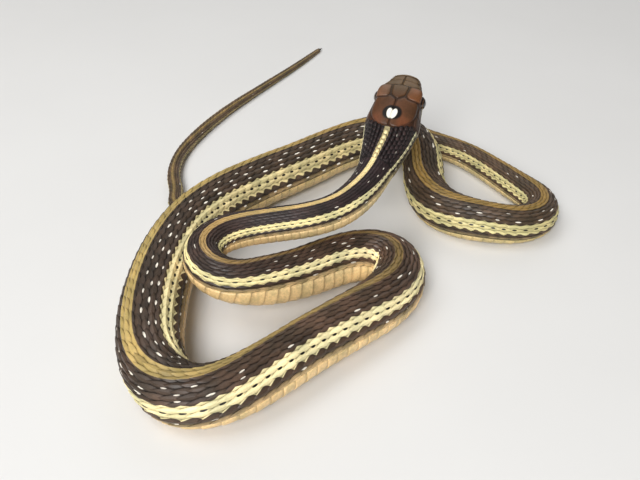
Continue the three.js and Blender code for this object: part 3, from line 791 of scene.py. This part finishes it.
# Head shields: outlines as places forwards and round the head in its corners, whole for the one in the middle
# and for the left one of each pair
FRONTAL_SHIELD = [
    (12.56, 0), (12.45, 0.82), (11.3, 0.74), (9.4, 0.66), (8.15, 0), (9.4, -0.66), (11.3, -0.74),
    (12.45, -0.82),
]
PAIRED_SHIELDS = [
    [(14.62, 0.02), (14.5, 1.1), (14.25, 2.1), (13.3, 2.4), (12.72, 2.05), (12.6, 0.92), (12.62, 0.02)],
    [(16.36, 0.02), (16.25, 0.9), (15.9, 1.85), (15.1, 2.1), (14.45, 1.95), (14.6, 1.0), (14.7, 0.02)],
    [(8.08, 0.02), (8.5, 0.3), (9.28, 0.72), (8.62, 1.0), (8.45, 1.5), (8.6, 2.05), (7.9, 2.3), (6.2, 2.3),
     (4.2, 2.12), (2.6, 1.75), (1.3, 1.2), (0.75, 0.65), (0.8, 0.02)],
    [(15.0, 2.2), (15.05, 3.5), (13.65, 3.55), (13.4, 2.5), (14.3, 2.2)],
    [(8.1, 2.38), (8.05, 3.5), (5.6, 3.6), (5.4, 2.95), (5.7, 2.4)],
    [(5.6, 2.38), (5.3, 2.95), (2.9, 2.95), (3.1, 2.35), (4.2, 2.2)],
    [(5.3, 3.0), (5.5, 3.6), (2.8, 3.7), (2.9, 3.02)],
]
LIP_EDGES = [16.85, 16.3, 15.3, 14.2, 12.9, 11.5, 9.7, 7.9, 5.6, 2.7]
JAW_EDGES = [17.0, 16.3, 15.4, 14.3, 12.9, 11.3, 9.5, 7.5, 5.2, 2.8]
CHIN_SHIELDS = [
    [(16.2, 5.5), (16.1, 7.96), (13.1, 7.96), (13.4, 5.6)],
    [(13.2, 5.6), (12.95, 7.9), (9.2, 7.6), (9.5, 6.4)],
]
LIP_TOP = 3.6
JAW_FOOT = 5.42
EYE_RIM = 1.64
EYE_RIM_OUTER = 2.5
SHIELD_SAMPLES = 48
SUTURE = 0.03

# A shield's rings, from its hidden base out to the rim and in over the top: how far out, lift and darkness
SHIELD_RINGS = np.array([
    *((share, -0.17, 0) for share in (0.08, 0.22, 0.38, 0.54, 0.7, 0.86)),
    (1, -0.1, 1), (0.982, -0.02, 0.9), (0.95, 0.024, 0.45), (0.9, 0.04, 0), (0.78, 0.046, 0),
    *((share, 0.048, 0) for share in (0.64, 0.5, 0.36, 0.22, 0.08)),
])


def corner_at_height(forwards, height):
    """Where round the left of the head its surface lies at a height."""
    spread = np.linspace(2, 5, 241)
    return float(np.interp(-height, -head_local(np.full(241, forwards), spread)[:, 2], spread))


def round_a_place(place, radius, degrees):
    """Places on the left of the head round a point on it, as stations and corners."""
    turned = np.radians(degrees)
    x, z = place[0] + radius * np.cos(turned), place[2] + radius * np.sin(turned)
    return [(v, corner_at_height(v, w)) for v, w in zip(x, z)]


def shields_round_the_eye():
    def rim(start, end, radius=EYE_RIM):
        return round_a_place(EYE_PLACE, radius, np.linspace(start, end, 6))

    brow = [(12.5, 0.96), (12.62, 2.0), *rim(38, 138), (8.72, 2.1), (8.6, 1.55), (8.75, 1.05), (9.45, 0.78),
            (11.3, 0.86)]
    before = [(13.3, 2.5), (13.5, 3.5), (12.9, 3.6), *rim(-26, 32), (12.7, 2.12)]
    behind = []
    for start, end in ((142, 168), (170, 196), (198, 226)):
        behind.append([*rim(start, end), *rim(end, start, EYE_RIM_OUTER)])
    return [brow, before, *behind]


def shields_round_the_nostril():
    turns = np.linspace(-62, 62, 7)
    front, rear = (round_a_place(NOSTRIL_PLACE, NOSTRIL_RADIUS - 0.08, turns + k) for k in (0, 180))
    x = NOSTRIL_PLACE[0]
    return [
        [(x + 0.03, 3.52), *front, (x + 0.02, 1.98), (16.42, 1.9), (16.75, 3.48)],
        [(x - 0.03, 1.98), *rear, (x - 0.03, 3.52), (15.12, 3.5), (15.08, 2.2)],
    ]


def shields_of_the_lips():
    """The scales along the upper and the lower lip, with those under the eye cut out for it."""
    found = []
    for front, rear in zip(LIP_EDGES, LIP_EDGES[1:]):
        x = np.linspace(front, rear, 7)
        top = np.full(7, LIP_TOP)
        below_eye = EYE_PLACE[2] - np.sqrt(np.maximum(EYE_RIM**2 - (x - EYE_PLACE[0]) ** 2, 0))
        for i in np.flatnonzero(np.abs(x - EYE_PLACE[0]) < EYE_RIM):
            top[i] = max(LIP_TOP, corner_at_height(x[i], below_eye[i]))
        found.append([*zip(x, top), *zip(x[::-1], mouth_corner(x)[::-1] - 0.05)])
    for front, rear in zip(JAW_EDGES, JAW_EDGES[1:]):
        x = np.linspace(front, rear, 4)
        found.append([*zip(x, mouth_corner(x) + 0.07), *zip(x[::-1], np.full(4, JAW_FOOT))])
    return found


def throat_shields():
    """Small rounded scales under the head, between the chin's shields and the belly plates."""
    found = []
    for k, x in enumerate(np.arange(8.4, 2.7, -1.05)):
        for corner in 8 + 0.7 * (np.arange(-3, 4) + 0.5 * (k % 2)):
            if 5.7 < corner < 10.3:
                found.append([
                    (x + 0.95, corner), (x + 0.3, corner + 0.34), (x - 0.45, corner + 0.2), (x - 0.6, corner),
                    (x - 0.45, corner - 0.2), (x + 0.3, corner - 0.34)])
    return found


def rounded_outline(outline):
    """An outline with its corners cut round, drawn in by a suture's width, as evenly spaced places."""
    corners = np.array(outline, float)
    at = corners.mean(axis=0)
    across = head_local(at[0], at[1] + 0.1) - head_local(at[0], at[1] - 0.1)
    scale = np.array([1, np.linalg.norm(across) / 0.2])
    flat = corners * scale
    before, after = np.roll(flat, 1, axis=0), np.roll(flat, -1, axis=0)
    path = []
    for here, back, ahead in zip(flat, before, after):
        reach_back, reach_ahead = (min(0.22, 0.38 * np.linalg.norm(v - here)) for v in (back, ahead))
        start = here + (back - here) / max(np.linalg.norm(back - here), 1e-9) * reach_back
        end = here + (ahead - here) / max(np.linalg.norm(ahead - here), 1e-9) * reach_ahead
        path += [start, (start + 2 * here + end) / 4, end]
    path = np.array([*path, path[0]])
    length = np.r_[0, np.cumsum(np.linalg.norm(np.diff(path, axis=0), axis=1))]
    even = np.linspace(0, length[-1], SHIELD_SAMPLES, endpoint=False)
    ring = np.column_stack([np.interp(even, length, path[:, k]) for k in range(2)])
    ahead = np.roll(ring, -1, axis=0) - np.roll(ring, 1, axis=0)
    area = np.sum(ring[:, 0] * np.roll(ring[:, 1], -1) - np.roll(ring[:, 0], -1) * ring[:, 1])
    inwards = np.column_stack([-ahead[:, 1], ahead[:, 0]]) * np.sign(area)
    ring = ring + unit(inwards) * SUTURE
    return ring[::int(np.sign(area))] / scale


def make_shields(name, outlines):
    """Head shields as one mesh, each a domed plate closed below."""
    rings = np.array([rounded_outline(outline) for outline in outlines])
    centre = rings.mean(axis=1, keepdims=True)
    shares, lift, dark = SHIELD_RINGS.T
    place = centre[:, None] + (rings - centre)[:, None] * shares[None, :, None, None]
    place = np.concatenate([place.reshape(len(rings), -1, 2), centre, centre], axis=1)
    lift, dark = (np.r_[np.repeat(v, SHIELD_SAMPLES), v[0], v[-1]] for v in (lift, dark))
    forwards, corner = place[..., 0], place[..., 1]
    points = over_head(forwards, corner, np.broadcast_to(lift, corner.shape))
    folded = np.minimum(np.abs(corner), HEAD_CORNERS - np.abs(corner))
    shade = np.exp(RNG.normal(0, 0.07, len(rings)))[:, None, None]
    tone = head_tone(head_local(forwards, corner), folded) * shade
    tone = np.clip(tone * (1 - SUTURE_SHADE * dark[:, None]), 0, 1)
    distance = NAPE - forwards
    root = bake_place(distance[:, -1], angle_of(corner[:, -1]))[:, None]
    bake = root + (place - centre) / np.abs(place - centre).max(axis=1, keepdims=True) * (BAKE_PATCH / 2)
    lie = unmarked(scale_count(distance))
    values = [v.reshape(-1, v.shape[-1]) for v in (points, tone, lie, bake)]
    return make_mesh(name, values[0], tube_faces(len(shares), SHIELD_SAMPLES, len(rings)), *values[1:])


def both_sides(outlines):
    return [*outlines, *([(x, -k) for x, k in outline] for outline in outlines)]


def make_tip(name, stations, middle, gap, tone):
    """A shield wrapped round the tip of the snout or chin up to a gap from the mouth, and closed below."""
    x = np.array(stations)[:, None]
    corner = middle + (np.abs(mouth_corner(x) - middle) - gap) * np.linspace(-1, 1, 33)
    x = np.broadcast_to(x, corner.shape)
    lift = np.full(corner.shape, 0.02)
    lift[0] = lift[:, 0] = lift[:, -1] = -0.09
    rows, columns = corner.shape
    grid = np.arange(rows * columns).reshape(rows, columns)
    tip = rows * columns
    shells = []
    for lifts, forwards in ((lift, 0.04), (np.full(corner.shape, -0.22), -0.12)):
        shell = head_surface(x, corner, lifts).reshape(-1, 3)
        shells += [shell, ((shell[-columns] + shell[-1]) / 2 + HEAD_AXES[:, 0] * forwards)[None]]
    quads = np.stack([grid[:-1, :-1], grid[:-1, 1:], grid[1:, 1:], grid[1:, :-1]], -1).reshape(-1, 4)
    cap = np.stack([grid[-1, :-1], grid[-1, 1:], np.full(columns - 1, tip)], -1)
    rim = np.r_[grid[0], grid[1:, -1], tip, grid[:0:-1, 0]]
    after = np.roll(rim, -1)
    wall = np.stack([after, rim, rim + tip + 1, after + tip + 1], -1)
    points = np.concatenate(shells)
    faces = [quads, cap, (quads + tip + 1)[:, ::-1], (cap + tip + 1)[:, ::-1], wall]
    spread = np.tile(np.column_stack([x.ravel(), corner.ravel()]), (2, 1))
    spread = np.insert(spread, [tip, 2 * tip], [[HEAD_LENGTH, corner.mean()]] * 2, axis=0)
    bake = bake_place(NAPE - spread[:, 0], angle_of(spread[:, 1]))
    lie = unmarked(np.zeros(len(points)))
    return make_mesh(name, points, faces, np.broadcast_to(tone, (len(points), 3)), lie, bake)


# Eyes
EYE_RINGS = 28
EYE_SIDES = 48
PUPIL = 42
IRIS_RIM = 46
IRIS_EDGE = 64


def make_eye(name, side):
    """A ball that looks straight out to one side, coloured by the angle from that line of sight."""
    polar = np.radians(np.linspace(180, 0, EYE_RINGS + 1)[1:-1])[:, None]
    turned = np.radians(np.arange(EYE_SIDES) * 360 / EYE_SIDES)[None, :]
    ball = np.stack(np.broadcast_arrays(
        np.sin(polar) * np.cos(turned), side * np.cos(polar), side * np.sin(polar) * np.sin(turned)), -1)
    ball = np.vstack([ball.reshape(-1, 3), [0, -side, 0], [0, side, 0]])
    points = (ball * EYE_RADIUS + np.array(EYE_PLACE) * [1, side, 1]) @ HEAD_AXES.T + HEAD_PLACE
    away = np.degrees(np.arccos(np.clip(ball[:, 1] * side, -1, 1)))
    tone = mixed(linear(8, 6, 6), linear(98, 66, 36), smooth_step(PUPIL - 1, PUPIL + 1, away))
    tone = mixed(tone, linear(24, 14, 11), smooth_step(IRIS_RIM - 1, IRIS_RIM + 4, away))
    tone = mixed(tone, linear(10, 7, 6), smooth_step(IRIS_EDGE - 6, IRIS_EDGE + 4, away))
    return make_mesh(name, points, tube_faces(EYE_RINGS - 1, EYE_SIDES), tone)


# Materials
class Value:
    """A number in a material: arithmetic with it adds nodes."""

    def __init__(self, nodes, socket):
        self.nodes = nodes
        self.socket = socket

    def math(self, operation, *others):
        return self.nodes.add("Math", dict(enumerate((self, *others))), operation=operation)

    def remap(self, low, high, to_low=0, to_high=1):
        """Eased from one range to another."""
        inputs = dict(enumerate((self, low, high, to_low, to_high)))
        return self.nodes.add("MapRange", inputs, interpolation_type="SMOOTHSTEP")

    __add__ = partialmethod(math, "ADD")
    __sub__ = partialmethod(math, "SUBTRACT")
    __mul__ = partialmethod(math, "MULTIPLY")
    __truediv__ = partialmethod(math, "DIVIDE")
    __pow__ = partialmethod(math, "POWER")
    __lt__ = partialmethod(math, "LESS_THAN")
    __gt__ = partialmethod(math, "GREATER_THAN")
    __abs__ = partialmethod(math, "ABSOLUTE")
    floor = partialmethod(math, "FLOOR")
    fraction = partialmethod(math, "FRACT")
    sign = partialmethod(math, "SIGN")
    or_more = partialmethod(math, "MAXIMUM")
    or_less = partialmethod(math, "MINIMUM")


class Nodes:
    """Short ways to add nodes to a material."""

    def __init__(self, name):
        self.material = bpy.data.materials.new(name)
        self.material.use_nodes = True
        self.tree = self.material.node_tree
        self.shader = self.tree.nodes["Principled BSDF"]

    def link(self, source, target):
        if isinstance(source, Value):
            self.tree.links.new(source.socket, target)
        else:
            target.default_value = source

    def add(self, kind, inputs, output=0, **settings):
        """One of the outputs of a new node, whose inputs are given by name or place."""
        node = self.tree.nodes.new("ShaderNode" + kind)
        for key, value in settings.items():
            setattr(node, key, value)
        for key, value in inputs.items():
            self.link(value, node.inputs[key])
        return Value(self, node.outputs[output])

    def attribute(self, name, output):
        return self.add("Attribute", {}, output, attribute_name=name)

    def mix(self, share, first, second, blend="MIX"):
        return self.add("Mix", {0: share, 6: first, 7: second}, 2, data_type="RGBA", blend_type=blend)

    def place(self):
        return self.add("TexCoord", {}, "Object")

    def noise(self, scale, detail):
        inputs = {"Vector": self.place(), "Scale": scale, "Detail": detail, "Roughness": 0.6}
        return self.add("TexNoise", inputs)

    def chance(self, *cell):
        """A number from 0 to 1 for each cell of the pattern, the same all over the cell."""
        return self.add("TexWhiteNoise", {"Vector": self.add("CombineXYZ", dict(enumerate(cell)))})

    def finish(self, **inputs):
        for key, value in inputs.items():
            self.link(value, self.shader.inputs[key.replace("_", " ")])
        return self.material


WHITE_FLECK = (0.9, 0.84, 0.72, 1)
TICK_BLACK = (0.012, 0.009, 0.007, 1)
FLECK_ROWS = ((2, 5), (8, 9))
FLECK_HALF_ROW = 0.15
FLECK_HALF_COUNT = 0.27
FLECK_STRAY = 0.35
TICK_ROWS = (6, 7)
TICK_PLACE = 0.55
TICK_HALF_ROW = 0.2
TICK_HALF_COUNT = 0.2
UPPER_TEETH = (5.05, 5.6)
LOWER_TEETH = (7.4, 7.9)
TOOTH_HALF_COUNT = 0.4
TOOTH_TAPER = 1.2
TOOTH_SLANT = 0.3


def roundish(across, lengthways, half_across, half_length):
    """1 inside a small ellipse of the pattern and 0 outside it."""
    spread = (abs(across) / half_across) ** 2.0 + (abs(lengthways) / half_length) ** 2.0
    return spread.remap(0.72, 1.25, 1, 0)


def between(value, low, high):
    return (value > low) * (value < high)


def fleck_share(nodes, count, row, strength):
    """White dashes between the scale rows of the dark band, at every second scale, staggered by row."""
    band = abs(row).floor()
    side = row.sign() * band
    across = abs(row) - band - 0.5
    shifted = count + band.or_less(3)
    cell = (shifted / 2).floor()
    middle = cell * 2 + ((nodes.chance(cell, side, 5.1) - 0.5) * FLECK_STRAY + 1)
    size = nodes.chance(cell, side, 8.3) * 0.5 + 0.62
    fleck = roundish(across / size, (shifted - middle) / size, FLECK_HALF_ROW, FLECK_HALF_COUNT)
    shown = nodes.chance(cell, side, 0.37) < strength
    return fleck * shown * between(abs(row), *FLECK_ROWS[0]).or_more(between(abs(row), *FLECK_ROWS[1]))


def tick_share(count, row):
    """Black ticks along the middle of the side stripe, one to a scale."""
    across = abs(row) - sum(TICK_ROWS) / 2
    tick = roundish(across, count.fraction() - TICK_PLACE, TICK_HALF_ROW, TICK_HALF_COUNT)
    return tick * between(abs(row), *TICK_ROWS)


def pale_share(count, row, limit):
    """The pale stripes: down the back, and along the side with a tooth to each scale above and below."""
    size = abs(row)
    back = (size - limit).remap(-0.06, 0.06, 1, 0) * (size < 2)
    side = (size - limit).remap(-0.04, 0.04) * between(size, 4, SIDE_FOOT)
    beyond = (limit - size).or_more(size - SIDE_FOOT)
    from_tooth = abs((count - beyond * TOOTH_SLANT).fraction() - TICK_PLACE)
    tooth = (from_tooth + beyond * TOOTH_TAPER).remap(TOOTH_HALF_COUNT - 0.04, TOOTH_HALF_COUNT + 0.04, 1, 0)
    upper = between(size, *UPPER_TEETH) * (limit < 5.7)
    return back.or_more(side).or_more(tooth * upper.or_more(between(size, *LOWER_TEETH)))


# The crown's pair of white spots and its black ring, in millimetres on the head: forwards, then out
SPOT_WHITE = (0.97, 0.92, 0.8, 1)
SPOT_BLACK = (0.008, 0.006, 0.005, 1)
SPOT_PLACE = (4.0, 0.42)
SPOT_HALF = (1.3, 0.64)
SPOT_SLANT = 0.15
RING_PLACE = 4.3
RING_HALF = (1.8, 1.6)


def spot_shares(nodes):
    """How white and how black the crown is in and round its pair of pale spots, which meet as a heart."""
    offset = nodes.add("VectorMath", {0: nodes.place(), 1: tuple(HEAD_PLACE * MM)}, operation="SUBTRACT")
    forwards, out, up = (
        nodes.add("VectorMath", {0: offset, 1: tuple(axis / MM)}, "Value", operation="DOT_PRODUCT")
        for axis in HEAD_AXES.T)
    lengthways = forwards - SPOT_PLACE[0]
    across = abs(out) - SPOT_PLACE[1]
    slanted = across - lengthways * (SPOT_SLANT / SPOT_HALF[0])
    white = roundish(slanted, lengthways, SPOT_HALF[1], SPOT_HALF[0])
    black = roundish(across, forwards - RING_PLACE, RING_HALF[1], RING_HALF[0])
    return white * (up > 1.5), black * (up > 1.5)


def make_hide(name, roughness, grain, flecks=False, spot=False, mottle=0.2):
    """Scaled skin: the mesh brings its colours; markings, mottling, gloss and fine relief are added here."""
    nodes = Nodes(name)
    broad = nodes.noise(260, 3)
    fine = nodes.noise(grain, 5)
    speckle = fine.remap(0.25, 0.75, 0.84, 1.14)
    warm = broad.remap(0.3, 0.7, 1 - mottle, 1 + mottle) * speckle
    cool = broad.remap(0.3, 0.7, 1 - 0.85 * mottle, 1 + 0.75 * mottle) * speckle
    grey = nodes.add("CombineColor", {0: warm, 1: cool, 2: cool})
    colour = nodes.mix(1, nodes.attribute("Tone", "Color"), grey, "MULTIPLY")
    if flecks:
        lie = nodes.attribute("Lie", "Vector")
        count, row, strength = (nodes.add("SeparateXYZ", {0: lie}, k) for k in range(3))
        stripes = nodes.mix(0.6, nodes.attribute("Pale", "Color"), grey, "MULTIPLY")
        limit = nodes.attribute("Pale", "Alpha") * 10
        colour = nodes.mix(pale_share(count, row, limit), colour, stripes)
        colour = nodes.mix(tick_share(count, row), colour, TICK_BLACK)
        colour = nodes.mix(fleck_share(nodes, count, row, strength), colour, WHITE_FLECK)
    if spot:
        white, black = spot_shares(nodes)
        colour = nodes.mix(white, nodes.mix(black, colour, SPOT_BLACK), SPOT_WHITE)
    bump = nodes.add("Bump", {"Strength": 0.35, "Distance": 0.00002, "Height": fine + broad * 0.4})
    gloss = fine.remap(0.2, 0.8, roughness - 0.07, roughness + 0.1)
    return nodes.finish(Base_Color=colour, Roughness=gloss, Specular_IOR_Level=0.35, Normal=bump)


def make_eye_material():
    nodes = Nodes("wet_eye")
    streaks = nodes.noise(3200, 4)
    shade = streaks.remap(0.3, 0.7, 0.6, 1.3)
    grey = nodes.add("CombineColor", {0: shade, 1: shade, 2: shade})
    colour = nodes.mix(1, nodes.attribute("Tone", "Color"), grey, "MULTIPLY")
    bump = nodes.add("Bump", {"Strength": 0.05, "Distance": 0.000005, "Height": streaks})
    return nodes.finish(
        Base_Color=colour, Roughness=streaks.remap(0.2, 0.8, 0.05, 0.1), Normal=bump, Coat_Weight=1,
        Coat_Roughness=0.02)


def make_floor_material():
    nodes = Nodes("pale_floor")
    colour = nodes.mix(nodes.noise(14, 3), (0.7, 0.69, 0.67, 1), (0.76, 0.75, 0.73, 1))
    return nodes.finish(Base_Color=colour, Roughness=0.85)


# Stage
CAMERA_PLACE = (-7.9, -140.8, 100)
CAMERA_DROP = 40
LENS = 40.5
SENSOR = 36
FLOOR_HALF = 1.5
WORLD_COLOUR = (0.95, 0.97, 1, 1)
WORLD_STRENGTH = 0.13
LIGHTS = [
    ("key_light", (-0.14, -0.52, 0.42), 0.3, 4.1),
    ("top_light", (-0.28, -0.05, 0.55), 0.4, 1.7),
    ("back_light", (0.12, 0.5, 0.42), 0.5, 0.8),
]


def make_stage():
    mesh = bpy.data.meshes.new("floor")
    corners = [(x * FLOOR_HALF, y * FLOOR_HALF, 0) for x, y in ((-1, -1), (1, -1), (1, 1), (-1, 1))]
    mesh.from_pydata(corners, [], [(0, 1, 2, 3)])
    floor = placed("floor", mesh)
    floor.data.materials.append(make_floor_material())
    for name, place, size, power in LIGHTS:
        light = bpy.data.lights.new(name, "AREA")
        light.size = size
        light.energy = power
        lamp = placed(name, light)
        lamp.location = place
        lamp.rotation_euler = (-Vector(place)).to_track_quat("-Z", "Y").to_euler()
    world = bpy.data.worlds.new("studio")
    world.use_nodes = True
    background = world.node_tree.nodes["Background"]
    background.inputs["Color"].default_value = WORLD_COLOUR
    background.inputs["Strength"].default_value = WORLD_STRENGTH
    bpy.context.scene.world = world


def make_camera():
    data = bpy.data.cameras.new("camera")
    data.lens = LENS
    data.sensor_width = SENSOR
    data.clip_start = 0.005
    camera = placed("camera", data)
    camera.location = [v * MM for v in CAMERA_PLACE]
    camera.rotation_euler = (math.radians(90 - CAMERA_DROP), 0, 0)
    bpy.context.scene.camera = camera


FLESH = [
    "head", "lower_jaw", "neck", "forebody", "bend_1_under_neck", "trunk_1_raised", "bend_2_right",
    "trunk_2_front", "bend_3_left_front", "trunk_3_left", "trunk_4_back", "bend_4_behind_neck",
    "trunk_5_right", "bend_5_far_right", "trunk_6_vent", "tail_1_root", "tail_2_behind", "tail_3_turn",
    "tail_4", "tail_5_tip",
]


def dress(piece, material, slot, *nodes):
    piece.data.materials.append(material)
    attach(piece, "root")
    if nodes:
        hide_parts(*nodes)


bpy.context.scene.view_settings.view_transform = "Standard"
make_camera()
make_stage()
skin_hide = make_hide("skin_between_scales", 0.5, 2600.0, True, True)
scale_hide = make_hide("keeled_scales", 0.42, 3600.0, True, mottle=0.3)
belly_hide = make_hide("belly_plates", 0.36, 2400.0)
shield_hide = make_hide("head_shields", 0.36, 3200.0, False, True)
wet_eye = make_eye_material()
dress(make_skin(), skin_hide, "body_skin", *FLESH)
for piece, slot in make_scales():
    dress(piece, scale_hide, slot)
dress(make_belly(), belly_hide, "pale_skin")
sides = both_sides([*PAIRED_SHIELDS, *shields_round_the_eye(), *shields_round_the_nostril()])
dress(make_shields("crown_and_side_shields", [FRONTAL_SHIELD, *sides]), shield_hide, "head_skin")
lips = both_sides([*shields_of_the_lips(), *CHIN_SHIELDS])
dress(make_shields("lip_and_throat_shields", [*lips, *throat_shields()]), belly_hide, "pale_skin")
snout = make_tip(
    "snout_tip_shield", [16.5, 16.56, 16.8, 17.1, 17.4, 17.6, 17.7], 0, 0.06, SNOUT_OLIVE)
dress(snout, shield_hide, "head_skin")
chin = make_tip(
    "chin_tip_shield", [16.4, 16.46, 16.8, 17.2, 17.5, 17.7], HEAD_CORNERS / 2, 0.08, LABIAL_PALE)
dress(chin, belly_hide, "pale_skin")
dress(make_eye("eyeball_left", 1), wet_eye, "eye", "eye_left")
dress(make_eye("eyeball_right", -1), wet_eye, "eye", "eye_right")
